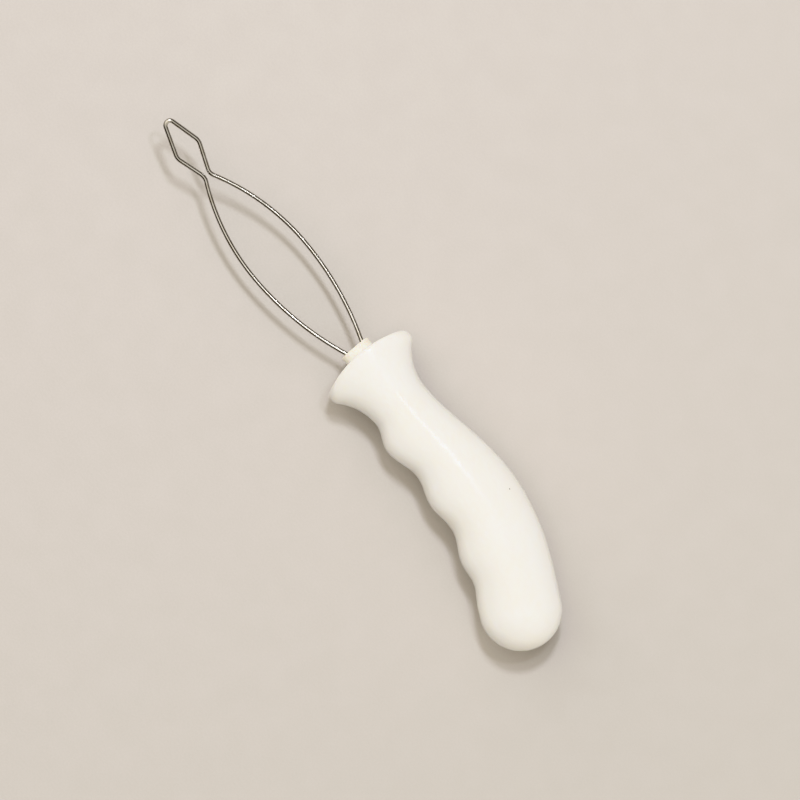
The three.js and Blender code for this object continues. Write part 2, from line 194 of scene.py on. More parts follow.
class BUTTONHOOK_PG_stage(PropertyGroup):
    floor_radius: length("Floor radius", "Radius of the floor", 8.0)
    floor_tone: colour("Floor tone", "Colour of the floor", (0.506, 0.473, 0.441))
    view_width: length("View width", "Width of the view at the tool's middle height", 0.2667)
    view_height: length("View height", "Height of the tool's middle above the floor", 0.0137)
    view_x: length("View X", "Centre of the view along the tool", -0.01409)
    view_y: length("View Y", "Centre of the view across the tool", -0.0058)
    view_turn: angle("View turn", "Turn of the camera about the vertical", math.radians(-130.42))
    lens: plain("Lens", "Focal length in millimetres", 300.0)
    lamp_distance: length("Lamp distance", "From the tool to each lamp", 1.2)
    key_radius: length("Key radius", "Radius of the key light", 0.075)
    key_power: watts("Key power", "Power of the key light", 6.3)
    key_direction: direction("Key direction", "From the tool towards the key", (0.24, -0.32, 1.0))
    spark_radius: length("Spark radius", "Radius of the small lamp", 0.04)
    spark_power: watts("Spark power", "Power of the lamp that draws the grip's highlight", 2.0)
    spark_direction: direction("Spark direction", "From the tool to that lamp", (0.04, -0.3, 1.0))
    lamp_colour: colour("Lamp colour", "Colour of both lamps", (0.86, 0.90, 1.0))
    room_colour: colour("Room colour", "Colour of the room's own light", (1.0, 0.945, 0.84))
    fill: plain("Fill", "Broad soft light, high up ahead of the hook", 1.95)
    fill_direction: direction("Fill direction", "From the tool towards the fill", (0.7, 0.0, 0.714))
    side: plain("Side", "Weak light from the grip's back side", 0.16)
    side_direction: direction("Side direction", "From the tool to the side", (0.0, -0.7, 0.714))
    bounce: plain("Bounce", "Light from low down behind the grip", 1.85)
    bounce_direction: direction("Bounce direction", "From the tool towards it", (-0.97, 0.0, 0.25))
    overhead: plain("Overhead", "Narrow glow straight above, which the bright wire mirrors", 1.9)
    breadth: plain("Breadth", "Power of the broad glows: higher is narrower", 4.0)
    overhead_breadth: plain("Overhead breadth", "Power of the glow straight above", 12.0)


# ---- Shapes shared by the pieces ----


def smoothstep(value, start, end):
    t = min(1.0, max(0.0, (value - start) / (end - start)))
    return t * t * (3 - 2 * t)


def ease(a, b, reach, start, end):
    """From a to b as reach goes from start to end, level at both."""
    return a + (b - a) * smoothstep(reach, start, end)


def arc(centre, radius, start, end, step):
    """Points of a circular arc in a plane, both ends included."""
    count = max(3, math.ceil(abs(end - start) / step))
    turns = [start + (end - start) * i / count for i in range(count + 1)]
    return [centre + Vector((radius * math.cos(a), radius * math.sin(a))) for a in turns]


def between_rings(count, sides):
    """The faces from each of count rings to the next one."""
    faces = []
    for row in range(count - 1):
        for column in range(sides):
            a, b = row * sides + column, row * sides + (column + 1) % sides
            faces.append((a, a + sides, b + sides, b))
    return faces


def skin(rings, first=None, last=None):
    """A closed skin over rings of equal length, with a point or a flat face at each end."""
    sides = len(rings[0])
    points = [p for ring in rings for p in ring]
    faces = between_rings(len(rings), sides)
    top = (len(rings) - 1) * sides
    if first is None:
        faces.append(tuple(range(sides)))
    else:
        points.append(first)
        faces += [(len(points) - 1, c, (c + 1) % sides) for c in range(sides)]
    if last is None:
        faces.append(tuple(reversed(range(top, top + sides))))
    else:
        points.append(last)
        faces += [(len(points) - 1, top + (c + 1) % sides, top + c) for c in range(sides)]
    return points, faces


def turned(profile, sides):
    """A body turned about the X axis from (x, radius) points, closed by a point at each end."""
    turns = [2 * math.pi * i / sides for i in range(sides)]
    rings = [
        [Vector((x, radius * math.cos(a), radius * math.sin(a))) for a in turns]
        for x, radius in profile[1:-1]
    ]
    ends = [Vector((x, 0, 0)) for x, _ in (profile[0], profile[-1])]
    return skin(rings, *ends)


def swept(stations, radii, sides):
    """A round bar through stations, and each point's place on the same bar drawn out straight."""
    rings, straight = [], []
    gone = 0.0
    for i, (station, radius) in enumerate(zip(stations, radii)):
        before, after = stations[max(0, i - 1)], stations[min(len(stations) - 1, i + 1)]
        gone += (station - before).length
        along = (after - before).normalized()
        up = (UP - along * UP.dot(along)).normalized()
        side = up.cross(along)
        turns = [2 * math.pi * k / sides for k in range(sides)]
        rings.append(
            [station + side * radius * math.cos(a) + up * radius * math.sin(a) for a in turns]
        )
        straight += [(gone, radius * math.cos(a), radius * math.sin(a)) for a in turns]
    return (*skin(rings), straight)


def new_mesh(name, points, faces, place):
    mesh = bpy.data.meshes.new(name)
    mesh.from_pydata([tuple(place @ p) for p in points], [], faces)
    mesh.validate()
    mesh.update()
    return mesh


def new_piece(name, mesh, material, sharp_angle=None):
    """An object that shows mesh, smooth but for the edges sharper than sharp_angle."""
    mesh.shade_smooth()
    if sharp_angle is not None:
        mesh.set_sharp_from_angle(angle=sharp_angle)
    mesh.materials.clear()
    mesh.materials.append(material)
    piece = bpy.data.objects.new(name, mesh)
    bpy.context.scene.collection.objects.link(piece)
    return piece


# ---- Fits between the pieces ----


def fits(scene):
    """What each piece has to agree on with its neighbour."""
    hook, plug = scene.buttonhook_hook, scene.buttonhook_plug
    wire_radius = hook.wire_diameter / 2
    leg_rise = (hook.loop_width - hook.leg_spacing) / 2
    leg_arc = (hook.loop_peak**2 + leg_rise**2) / (2 * leg_rise)
    leg_angle = math.asin(hook.loop_peak / leg_arc)
    tail_y = hook.leg_spacing / 2 - hook.leg_radius * (1 - math.cos(leg_angle))
    shank_radius = tail_y + wire_radius + plug.clearance + plug.tail_wall
    barb_radius = shank_radius + plug.barb_height
    socket_radius = barb_radius + plug.clearance
    return SimpleNamespace(
        face_x=plug.clearance + plug.collar_length,
        wire_radius=wire_radius,
        leg_arc=leg_arc,
        leg_angle=leg_angle,
        tail_y=tail_y,
        shank_radius=shank_radius,
        barb_radius=barb_radius,
        socket_radius=socket_radius,
        collar_radius=socket_radius + plug.collar_overhang,
    )


# ---- Grip ----


class GripShape:
    """The grip's shape in the tool's own frame. A reach is a distance behind the seat."""

    def __init__(self, scene):
        self.grip = scene.buttonhook_grip
        self.plug = scene.buttonhook_plug
        self.fits = fits(scene)
        grip = self.grip
        self.face_apex = -(self.fits.collar_radius**2) / (2 * grip.face_bow)
        self.rim_centre = grip.flare_half_width - grip.rim_radius
        self.face_half_width = self.rim_centre * grip.face_bow / (grip.face_bow - grip.rim_radius)
        self.face_half_height = grip.flare_height - grip.front_edge
        self.face_angle = math.asin(self.face_half_width / grip.face_bow)
        side_round = grip.rim_radius * math.cos(self.face_angle)
        self.rim_reach = self.face_reach(self.face_half_width) + side_round
        self.flare_end = grip.first_ridge - grip.ridge_pitch / 2
        self.columns = self.column_angles()

    def column_angles(self):
        """Even columns, with close ones beside the moulding seam on each side of the grip."""
        sides = self.grip.sides
        even = [2 * math.pi * i / sides for i in range(sides)]
        foot, crest = self.grip.seam_half_turn, self.grip.seam_half_turn * 0.4
        beside = (-foot, -crest, crest, foot)
        seam = [side + turn for side in (0.0, math.pi) for turn in beside]
        return sorted(even + [angle % (2 * math.pi) for angle in seam])

    def face_reach(self, y):
        """Reach of the bowed face at a distance y from the middle. It is 0 at the collar's edge."""
        bow = self.grip.face_bow
        return self.face_apex + bow - math.sqrt(bow**2 - y**2)

    def neck_reach(self, neck):
        """Where the flare's hollow arc reaches a neck of this half-width."""
        grip = self.grip
        rise = neck + grip.flare_arc - self.rim_centre
        return self.rim_reach + math.sqrt((grip.flare_arc + grip.rim_radius) ** 2 - rise**2)

    def flare_half(self, reach, neck):
        grip = self.grip
        end = self.neck_reach(neck)
        part = grip.rim_radius / (grip.rim_radius + grip.flare_arc)
        tangent = self.rim_reach + (end - self.rim_reach) * part
        if reach < tangent:
            inside = grip.rim_radius**2 - (reach - self.rim_reach) ** 2
            return self.rim_centre + math.sqrt(max(0.0, inside))
        return neck + grip.flare_arc - math.sqrt(grip.flare_arc**2 - (end - reach) ** 2)

    def towards_butt(self, half, butt, reach):
        grip = self.grip
        return ease(half, butt, reach, grip.butt_reach - grip.butt_blend, grip.butt_reach)

    def back_half(self, reach):
        grip = self.grip
        start = self.neck_reach(grip.neck_back)
        if reach < start:
            return self.flare_half(reach, grip.neck_back)
        half = ease(grip.neck_back, grip.belly_back, reach, start, grip.belly_reach)
        return self.towards_butt(half, grip.butt_radius, reach)

    def height_half(self, reach):
        """The flare is no taller than the body, and the neck is only a little lower."""
        grip = self.grip
        if reach < self.flare_end:
            return ease(grip.flare_height, grip.neck_height, reach, self.rim_reach, self.flare_end)
        half = ease(grip.neck_height, grip.belly_height, reach, self.flare_end, grip.belly_reach)
        return self.towards_butt(half, grip.butt_height, reach)

    def finger_half(self, reach):
        """The side with a hollow for each finger and a ridge between each two."""
        grip = self.grip
        neck = self.neck_reach(grip.neck_finger)
        if reach < neck:
            return self.flare_half(reach, grip.neck_finger)
        if reach < grip.first_ridge:
            wave = (1 - math.cos(math.pi * (reach - neck) / (grip.first_ridge - neck))) / 2
            return grip.neck_finger + (grip.ridge - grip.neck_finger) * wave
        turns = (reach - grip.first_ridge) / grip.ridge_pitch
        depths = (grip.groove_1, grip.groove_2, grip.groove_3)
        depth = depths[int(turns)] if turns < len(depths) else 0.0
        half = grip.ridge - depth * (1 - math.cos(2 * math.pi * turns)) / 2
        return self.towards_butt(half, grip.butt_radius, reach)

    def spine(self, reach):
        """The middle line's point, its direction and the direction of the finger side."""
        grip = self.grip
        angle = max(0.0, reach - grip.bend_start) / grip.bend_radius
        back = min(reach, grip.bend_start) + grip.bend_radius * math.sin(angle)
        centre = Vector((-back, grip.bend_radius * (1 - math.cos(angle)), 0))
        along = Vector((-math.cos(angle), math.sin(angle), 0))
        to_finger = Vector((math.sin(angle), math.cos(angle), 0))
        return centre, along, to_finger

    def seam(self, angle):
        """Height of the moulding seam at this turn round the grip."""
        off_side = abs(math.remainder(angle, math.pi))
        return self.grip.seam_height if off_side < self.grip.seam_half_turn / 2 else 0.0

    def front_ring(self, place, seam=False):
        """A ring about the straight part of the axis, from each angle's reach, width and height."""
        points = []
        for angle in self.columns:
            reach, width, height = place(angle)
            out = self.seam(angle) if seam else 0.0
            y = (width + out) * math.cos(angle)
            points.append(Vector((-reach, y, (height + out) * math.sin(angle))))
        return points

    def round_ring(self, reach, radius):
        return self.front_ring(lambda _: (reach, radius, radius))

    def edge_at(self, angle):
        """The face's edge at this turn: its radius, the slope that it starts at and its reach."""
        grip = self.grip
        sideways = math.cos(angle) ** 2
        radius = grip.front_edge + (grip.rim_radius - grip.front_edge) * sideways
        slope = self.face_angle * sideways
        face_end = self.face_reach(self.face_half_width * math.cos(angle))
        return radius, slope, face_end + radius * math.cos(slope)

    def face_ring(self, part):
        """One ring of the face, from the seat (part 0) to the face's edge (part 1)."""
        seat = self.fits.collar_radius + self.plug.joint_gap
        width = seat + (self.face_half_width - seat) * part
        height = seat + (self.face_half_height - seat) * part
        return self.front_ring(lambda a: (self.face_reach(width * math.cos(a)), width, height))

    def edge_ring(self, part):
        """One ring over the face's rounded edge, ending on the flare's outside (part 1)."""
        grip = self.grip
        side = self.face_angle + (QUARTER - self.face_angle) * part
        width = self.rim_centre + grip.rim_radius * math.sin(side)
        height = self.face_half_height + grip.front_edge * math.sin(QUARTER * part)

        def place(angle):
            radius, slope, reach = self.edge_at(angle)
            turn = slope + (QUARTER - slope) * part
            return reach - radius * math.cos(turn), width, height

        return self.front_ring(place, seam=part == 1)

    def drawn_forward(self, reach, angle):
        """How far a ring of the flare is drawn forward at this turn, to end on the face's edge."""
        most = self.rim_reach - self.edge_at(angle)[2]
        return ease(most, 0.0, reach, self.rim_reach, self.flare_end)

    def body_ring(self, reach):
        """One ring across the body. Each quarter is a quarter ellipse."""
        centre, along, to_finger = self.spine(reach)
        finger, back = self.finger_half(reach), self.back_half(reach)
        tall = self.height_half(reach)
        points = []
        for angle in self.columns:
            out = self.seam(angle)
            half = (finger if math.cos(angle) > 0 else back) + out
            middle = centre - along * self.drawn_forward(reach, angle)
            up = UP * (tall + out) * math.sin(angle)
            points.append(middle + to_finger * math.cos(angle) * half + up)
        return points

    def butt_ring(self, turn):
        """One ring of the round butt, from its widest (turn 0) towards its end."""
        grip = self.grip
        centre, along, to_finger = self.spine(grip.butt_reach)
        middle = centre + along * grip.butt_radius * math.sin(turn)
        width, tall = grip.butt_radius * math.cos(turn), grip.butt_height * math.cos(turn)
        points = []
        for angle in self.columns:
            out = self.seam(angle) * math.cos(turn)
            up = UP * (tall + out) * math.sin(angle)
            points.append(middle + to_finger * math.cos(angle) * (width + out) + up)
        return points

    def socket_rings(self):
        """The socket that holds the shank, from its floor to a softened mouth."""
        grip = self.grip
        depth = self.plug.shank_length + grip.socket_end_gap
        radius, mouth = self.fits.socket_radius, grip.socket_mouth
        steps = 24
        rings = [self.round_ring(depth, radius * part) for part in (0.5, 0.97)]
        for i in range(steps + 1):
            rings.append(self.round_ring(mouth + (depth - 2 * mouth) * (1 - i / steps), radius))
        seat = self.fits.collar_radius + self.plug.joint_gap
        return rings + [self.round_ring(0.0, radius + mouth), self.round_ring(0.0, seat)]

    def front_rings(self):
        """The bowed face and its rounded edge."""
        face, edge = 18, 14
        rings = [self.face_ring(i / face) for i in range(face + 1)]
        return rings + [self.edge_ring(i / edge) for i in range(1, edge + 1)]

    def body_rings(self):
        """From the flare's widest place over the neck and the belly to the butt."""
        grip = self.grip
        close = 12
        rim_end = self.rim_reach + grip.rim_radius
        room = grip.butt_reach - rim_end
        steps = math.ceil(room / grip.ring_pitch)
        turns = [QUARTER * i / close for i in range(1, close)]
        reaches = [self.rim_reach + grip.rim_radius * math.sin(turn) for turn in turns]
        reaches += [rim_end + room * i / steps for i in range(steps + 1)]
        return [self.body_ring(reach) for reach in reaches]

    def butt_rings(self):
        steps = 28
        return [self.butt_ring(QUARTER * i / steps) for i in range(1, steps)]

    def skin(self):
        depth = self.plug.shank_length + self.grip.socket_end_gap
        centre, along, _ = self.spine(self.grip.butt_reach)
        rings = self.socket_rings() + self.front_rings() + self.body_rings() + self.butt_rings()
        return skin(rings, Vector((-depth, 0, 0)), centre + along * self.grip.butt_radius)

    def surface_point(self, reach, angle):
        """The point of the outside at this reach and turn round the grip."""
        centre, _, to_finger = self.spine(reach)
        half = self.finger_half(reach) if math.cos(angle) > 0 else self.back_half(reach)
        up = UP * self.height_half(reach) * math.sin(angle)
        return centre + to_finger * half * math.cos(angle) + up


def resting_place(scene):
    """How the tool lies: on the flare and on the part of the body that touches next."""
    shape = GripShape(scene)
    hook = scene.buttonhook_hook
    rings = shape.front_rings() + shape.body_rings() + shape.butt_rings()
    outside = np.array([p for ring in rings for p in ring])
    front = outside[:, 0] > -shape.flare_end

    def lowest(part, angle):
        return (part[:, 2] * math.cos(angle) + part[:, 0] * math.sin(angle)).min()

    low, high = 0.0, math.pi / 6
    for _ in range(40):
        angle = (low + high) / 2
        if lowest(outside[front], angle) < lowest(outside[~front], angle):
            low = angle
        else:
            high = angle
    height = -lowest(outside[front], high) - scene.buttonhook_grip.rest_flat

    # Along and across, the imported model's own boxes say where the tool lies.
    tip_x = shape.fits.face_x + hook.reach + shape.fits.wire_radius
    tip_reach = tip_x * math.cos(high) - hook.rise * math.sin(high)
    plug_low, plug_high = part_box("plug")
    seat = Vector((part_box("wire_hook")[1].x - tip_reach, (plug_low.y + plug_high.y) / 2, height))
    return Matrix.Translation(seat) @ Matrix.Rotation(-high, 4, "Y")


def rippled(mesh, ripple, pitch):
    """Gives the outside the soft ripple of a moulding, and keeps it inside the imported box."""
    low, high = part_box("grip")
    normals = [v.normal.copy() for v in mesh.vertices]
    for vertex, normal in zip(mesh.vertices, normals):
        moved = vertex.co + normal * ripple * noise.noise(vertex.co / pitch)
        vertex.co = [min(max(value, a), b) for value, a, b in zip(moved, low, high)]
    mesh.update()


# ---- Hook ----


def hook_side(scene, extra):
    """One side of the hook's flat centre line, from its tail's end to the tip."""
    hook, fit = scene.buttonhook_hook, fits(scene)
    fine, tight = math.radians(0.5), math.radians(4)
    half = hook.loop_width / 2
    waist_reach = hook.reach - hook.nose_length
    waist_half = (hook.waist_gap + hook.wire_diameter) / 2

    bend = Vector((-hook.leg_radius * math.sin(fit.leg_angle), fit.tail_y + hook.leg_radius))
    leg = Vector((hook.loop_peak, half - fit.leg_arc))

    # Ahead of the widest place a second wide arc runs in, and meets the waist's bend in line.
    waist = Vector((waist_reach, waist_half + hook.waist_radius))
    run, drop = waist_reach - hook.loop_peak, waist.y - half
    front_arc = (run**2 + drop**2 - hook.waist_radius**2) / (2 * (hook.waist_radius - drop))
    front = Vector((hook.loop_peak, half - front_arc))
    meet = math.atan2(waist.y - front.y, waist.x - front.x)

    # The nose: a straight side from the waist to the corner, and one from there to the tip.
    corner = Vector((waist_reach + hook.nose_corner, hook.nose_width / 2 - hook.corner_radius))
    tip = Vector((hook.reach - hook.tip_radius, 0))
    out, back = corner - waist, tip - corner
    out_angle = math.atan2(out.y, out.x) + math.asin(
        (hook.waist_radius + hook.corner_radius) / out.length
    )
    in_angle = math.atan2(back.y, back.x) - math.asin(
        (hook.corner_radius - hook.tip_radius) / back.length
    )
    return [
        Vector((-hook.tail - extra, fit.tail_y)),
        *arc(bend, hook.leg_radius, -QUARTER, fit.leg_angle - QUARTER, tight),
        *arc(leg, fit.leg_arc, QUARTER + fit.leg_angle, QUARTER, fine)[1:],
        *arc(front, front_arc, QUARTER, meet, fine)[1:],
        *arc(waist, hook.waist_radius, meet - math.pi, out_angle - QUARTER, tight)[1:],
        *arc(corner, hook.corner_radius, out_angle + QUARTER, in_angle + QUARTER, tight),
        *arc(tip, hook.tip_radius, in_angle + QUARTER, 0, tight),
    ]


def closer(points, pitch):
    """The same line with no two points further apart than pitch."""
    result = [points[0]]
    for a, b in zip(points, points[1:]):
        count = max(1, math.ceil((b - a).length / pitch))
        result += [a.lerp(b, i / count) for i in range(1, count + 1)]
    return result


def set_in_space(scene, point):
    """The nose leans to one side and the whole hook is swept up a little."""
    hook = scene.buttonhook_hook
    lean = hook.nose_lean * max(0.0, point.x - hook.reach + hook.nose_length) / hook.nose_length
    rise = hook.rise * max(0.0, point.x / hook.reach) ** hook.sweep
    return Vector((point.x + fits(scene).face_x, point.y - lean, rise))


def hook_stations(scene):
    side = closer(hook_side(scene, 0.0), scene.buttonhook_hook.station_pitch)
    other = [Vector((p.x, -p.y)) for p in reversed(side[:-1])]
    return [set_in_space(scene, p) for p in side + other]


def hook_bar(scene):
    """The whole bent wire, with the cut edge of each tail's end softened."""
    hook = scene.buttonhook_hook
    stations = hook_stations(scene)
    radius = hook.wire_diameter / 2
    cut = hook.tail_softening * radius
    steps = 4
    turns = [QUARTER * i / steps for i in range(steps)]
    ends = [(cut * (1 - math.cos(t)), radius - cut * (1 - math.sin(t))) for t in turns]
    inward = Vector((1, 0, 0))
    head = [stations[0] + inward * d for d, _ in ends]
    tail = [stations[-1] + inward * d for d, _ in reversed(ends)]
    middle = [s for s in stations if s.x > stations[0].x + cut]
    radii = [r for _, r in ends]
    return swept(head + middle + tail, radii + [radius] * len(middle) + radii[::-1], hook.sides)


# ---- Plug ----


def plug_profile(scene):
    """The turned plug from its shank's end to its front face."""
    plug, fit = scene.buttonhook_plug, fits(scene)
    shank, barb = fit.shank_radius, fit.barb_radius
    chamfer, end = plug.shank_chamfer, -plug.shank_length
    profile = [(end, 0.0), (end, shank - chamfer), (end + chamfer, shank)]
    start = end + 2 * chamfer
    while start + plug.barb_length + 2 * plug.barb_height < 0:
        top = start + plug.barb_length
        profile += [(start, shank), (top, barb), (top + plug.barb_height, shank)]
        start += plug.barb_pitch
    soft, back, edge = plug.corner, plug.joint_gap, plug.collar_edge
    profile += [(back, shank), (back, fit.collar_radius - soft), (back + soft, fit.collar_radius)]
    centre = Vector((fit.face_x - edge, fit.collar_radius - edge))
    profile += [(p.x, p.y) for p in arc(centre, edge, QUARTER, 0, math.radians(7))]
    profile += [(fit.face_x, fit.collar_radius - edge - soft), (fit.face_x, 0.0)]
    return profile


def hole_bars(scene):
    """The bars that cut the two holes, each wider at the collar's face."""
    hook, plug, fit = scene.buttonhook_hook, scene.buttonhook_plug, fits(scene)
    side = closer(hook_side(scene, plug.hole_gap), plug.hole_pitch)
    near = [set_in_space(scene, p) for p in side if p.x < plug.hole_past]
    bars = []
    for sign in (1, -1):
        stations = [Vector((p.x, sign * p.y, p.z)) for p in near]
        radii = []
        for p in stations:
            opening = max(0.0, plug.hole_flare + p.x - fit.face_x)
            radii.append(fit.wire_radius + plug.hole_gap + opening)
        bars.append(swept(stations, radii, hook.sides)[:2])
    return bars


def cut_by(mesh, cutters):
    """mesh with each cutter's mesh taken out of it."""
    body = bpy.data.objects.new("uncut", mesh)
    bpy.context.scene.collection.objects.link(body)
    tools = []
    for cutter in cutters:
        tool = bpy.data.objects.new("cutter", cutter)
        bpy.context.scene.collection.objects.link(tool)
        cut = body.modifiers.new("cut", "BOOLEAN")
        cut.operation = "DIFFERENCE"
        cut.solver = "EXACT"
        cut.object = tool
        tools.append(tool)
    depsgraph = bpy.context.evaluated_depsgraph_get()
    result = bpy.data.meshes.new_from_object(body.evaluated_get(depsgraph))
    for done in (body, *tools):
        data = done.data
        bpy.data.objects.remove(done)
        bpy.data.meshes.remove(data)
    return result


# ---- Materials: groups ----


def put(tree, made, name, value):
    """Links value to the node's input if it is a socket, or else sets the input."""
    target = made.inputs[name]
    if isinstance(value, bpy.types.NodeSocket):
        tree.links.new(value, target)
    else:
        target.default_value = value


def node(tree, kind, inputs, **settings):
    made = tree.nodes.new(kind)
    for name, value in settings.items():
        setattr(made, name, value)
    for name, value in inputs.items():
        put(tree, made, name, value)
    return made


def calc(tree, operation, *values, clamp=False):
    inputs = dict(enumerate(values))
    return node(tree, "ShaderNodeMath", inputs, operation=operation, use_clamp=clamp).outputs[0]


def vector_calc(tree, operation, a, b):
    return node(tree, "ShaderNodeVectorMath", {0: a, 1: b}, operation=operation)


def mixed(tree, factor, a, b):
    """Colour a where factor is 0 and colour b where it is 1."""
    return node(tree, "ShaderNodeMix", {0: factor, 6: a, 7: b}, data_type="RGBA").outputs[2]


def ranged(tree, value, low, high, to_low, to_high):
    inputs = {"Value": value, 1: low, 2: high, 3: to_low, 4: to_high}
    return node(tree, "ShaderNodeMapRange", inputs, interpolation_type="SMOOTHSTEP").outputs[0]


SOCKETS = {type(None): "NodeSocketVector", float: "NodeSocketFloat", tuple: "NodeSocketColor"}
WHITE = (1, 1, 1, 1)


def shared_group(name, inputs, outputs, fill):
    """The group of this name, built once. Its inputs are a dict of defaults, None for a vector."""
    if name in bpy.data.node_groups:
        return bpy.data.node_groups[name]
    tree = bpy.data.node_groups.new(name, "ShaderNodeTree")
    for label, default in inputs.items():
        kind = SOCKETS[type(default)]
        socket = tree.interface.new_socket(label, in_out="INPUT", socket_type=kind)
        if default is not None:
            socket.default_value = default
    for label, kind in outputs.items():
        tree.interface.new_socket(label, in_out="OUTPUT", socket_type=SOCKETS[kind])
    given, result = tree.nodes.new("NodeGroupInput"), tree.nodes.new("NodeGroupOutput")
    fill(tree, given.outputs, result)
    return tree


def grain_group():
    """A fine relief of one pitch, which may be drawn out along its first axis."""

    def fill(tree, given, result):
        across = calc(tree, "DIVIDE", 1.0, given["Pitch"])
        along = calc(tree, "DIVIDE", across, given["Stretch"])
        scale = node(tree, "ShaderNodeCombineXYZ", {0: along, 1: across, 2: across}).outputs[0]
        place = vector_calc(tree, "MULTIPLY", given["Vector"], scale).outputs[0]
        inputs = {"Vector": place, "Scale": 1.0, "Detail": given["Detail"]}
        put(tree, result, "Height", node(tree, "ShaderNodeTexNoise", inputs).outputs[0])

    inputs = {"Vector": None, "Pitch": 0.001, "Stretch": 1.0, "Detail": 2.0}
    return shared_group("Moulded grain", inputs, {"Height": float}, fill)


def patches_group():
    """Soft patches of two colours, as plastic, steel or a floor shows after some years."""

    def fill(tree, given, result):
        height = grain(tree, given["Vector"], given["Pitch"], detail=3.0)
        amount = ranged(tree, height, 0.35, 0.65, 0.0, 1.0)
        put(tree, result, "Color", mixed(tree, amount, given["Clean"], given["Aged"]))
        put(tree, result, "Amount", amount)

    inputs = {"Vector": None, "Pitch": 0.02, "Clean": WHITE, "Aged": WHITE}
    return shared_group("Soft patches", inputs, {"Color": tuple, "Amount": float}, fill)


def specks_group():
    """Scattered specks, all of one radius, in a share of cells of one spacing."""

    def fill(tree, given, result):
        scale = calc(tree, "DIVIDE", 1.0, given["Spacing"])
        cells = node(tree, "ShaderNodeTexVoronoi", {"Vector": given["Vector"], "Scale": scale})
        distance = calc(tree, "MULTIPLY", cells.outputs["Distance"], given["Spacing"])
        inside = calc(tree, "SUBTRACT", given["Radius"], distance)
        soft = calc(tree, "MULTIPLY", given["Radius"], 0.5)
        edge = calc(tree, "DIVIDE", inside, soft, clamp=True)
        parts = node(tree, "ShaderNodeSeparateColor", {"Color": cells.outputs["Color"]})
        chosen = calc(tree, "LESS_THAN", parts.outputs[0], given["Share"])
        put(tree, result, "Mask", calc(tree, "MULTIPLY", edge, chosen))

    inputs = {"Vector": None, "Spacing": 0.004, "Radius": 0.0002, "Share": 0.2}
    return shared_group("Specks", inputs, {"Mask": float}, fill)


def grain(tree, vector, pitch, stretch=1.0, detail=2.0):
    inputs = {"Vector": vector, "Pitch": pitch, "Stretch": stretch, "Detail": detail}
    return node(tree, "ShaderNodeGroup", inputs, node_tree=grain_group()).outputs["Height"]


def patches(tree, vector, pitch, clean, aged):
    inputs = {"Vector": vector, "Pitch": pitch, "Clean": clean, "Aged": aged}
    made = node(tree, "ShaderNodeGroup", inputs, node_tree=patches_group())
    return made.outputs["Color"], made.outputs["Amount"]


def specks(tree, vector, spacing, radius, share):
    inputs = {"Vector": vector, "Spacing": spacing, "Radius": radius, "Share": share}
    return node(tree, "ShaderNodeGroup", inputs, node_tree=specks_group()).outputs["Mask"]


# ---- Materials ----


def new_material(name, **constants):
    """A material with a Principled shader, and the shader's unlinked values set."""
    material = bpy.data.materials.new(name)
    material.use_nodes = True
    tree = material.node_tree
    shader = tree.nodes["Principled BSDF"]
    for label, value in constants.items():
        shader.inputs[label.replace("_", " ")].default_value = value
    place = node(tree, "ShaderNodeTexCoord", {}).outputs["Object"]
    return material, tree, shader, place


DUST = (0.3, 0.27, 0.22, 1)
FLOOR_DUST = (0.2, 0.18, 0.15, 1)
SPECK = (0.16, 0.14, 0.11, 1)


def toned(tone, factor):
    """A colour with each channel times its factor, for a node's socket."""
    return (*[c * f for c, f in zip(tone, factor)], 1.0)


def relief(tree, shader, layers):
    """Bump layers, one on the other. Each is (height, distance)."""
    normal = None
    for height, distance in layers:
        inputs = {"Height": height, "Distance": distance, "Strength": 1.0}
        if normal is not None:
            inputs["Normal"] = normal
        normal = node(tree, "ShaderNodeBump", inputs).outputs[0]
    put(tree, shader, "Normal", normal)


def ivory_plastic(scene):
    """Satin vinyl: warm white, a little see-through, with the mould's soft skin and a speck."""
    grip = scene.buttonhook_grip
    material, tree, shader, place = new_material(
        "ivory_vinyl",
        IOR=1.52,
        Subsurface_Weight=0.3,
        Subsurface_Scale=0.0025,
        Subsurface_Radius=(1.0, 0.85, 0.6),
    )
    clean = toned(grip.ivory, (1.0, 1.0, 1.0))
    aged = toned(grip.ivory, (0.993, 0.988, 0.97))
    skin_tone, _ = patches(tree, place, 0.022, clean, aged)
    dust = specks(tree, place, spacing=0.007, radius=0.0001, share=0.05)
    skin_tone = mixed(tree, calc(tree, "MULTIPLY", dust, 0.3), skin_tone, DUST)
    spot = resting_place(scene) @ GripShape(scene).surface_point(grip.speck_reach, grip.speck_turn)
    away = vector_calc(tree, "DISTANCE", place, spot).outputs["Value"]
    speck = ranged(tree, away, grip.speck_core, grip.speck_edge, 1.0, 0.0)
    skin_tone = mixed(tree, calc(tree, "MULTIPLY", speck, 0.75), skin_tone, SPECK)
    put(tree, shader, "Base Color", skin_tone)
    sheen = grain(tree, place, pitch=0.004, detail=3.0)
    put(tree, shader, "Roughness", ranged(tree, sheen, 0.3, 0.7, 0.19, 0.26))
    orange_peel = grain(tree, place, pitch=0.0028, detail=1.0)
    fine = grain(tree, place, pitch=0.0006)
    relief(tree, shader, [(orange_peel, 0.00009), (fine, 0.000012)])
    return material


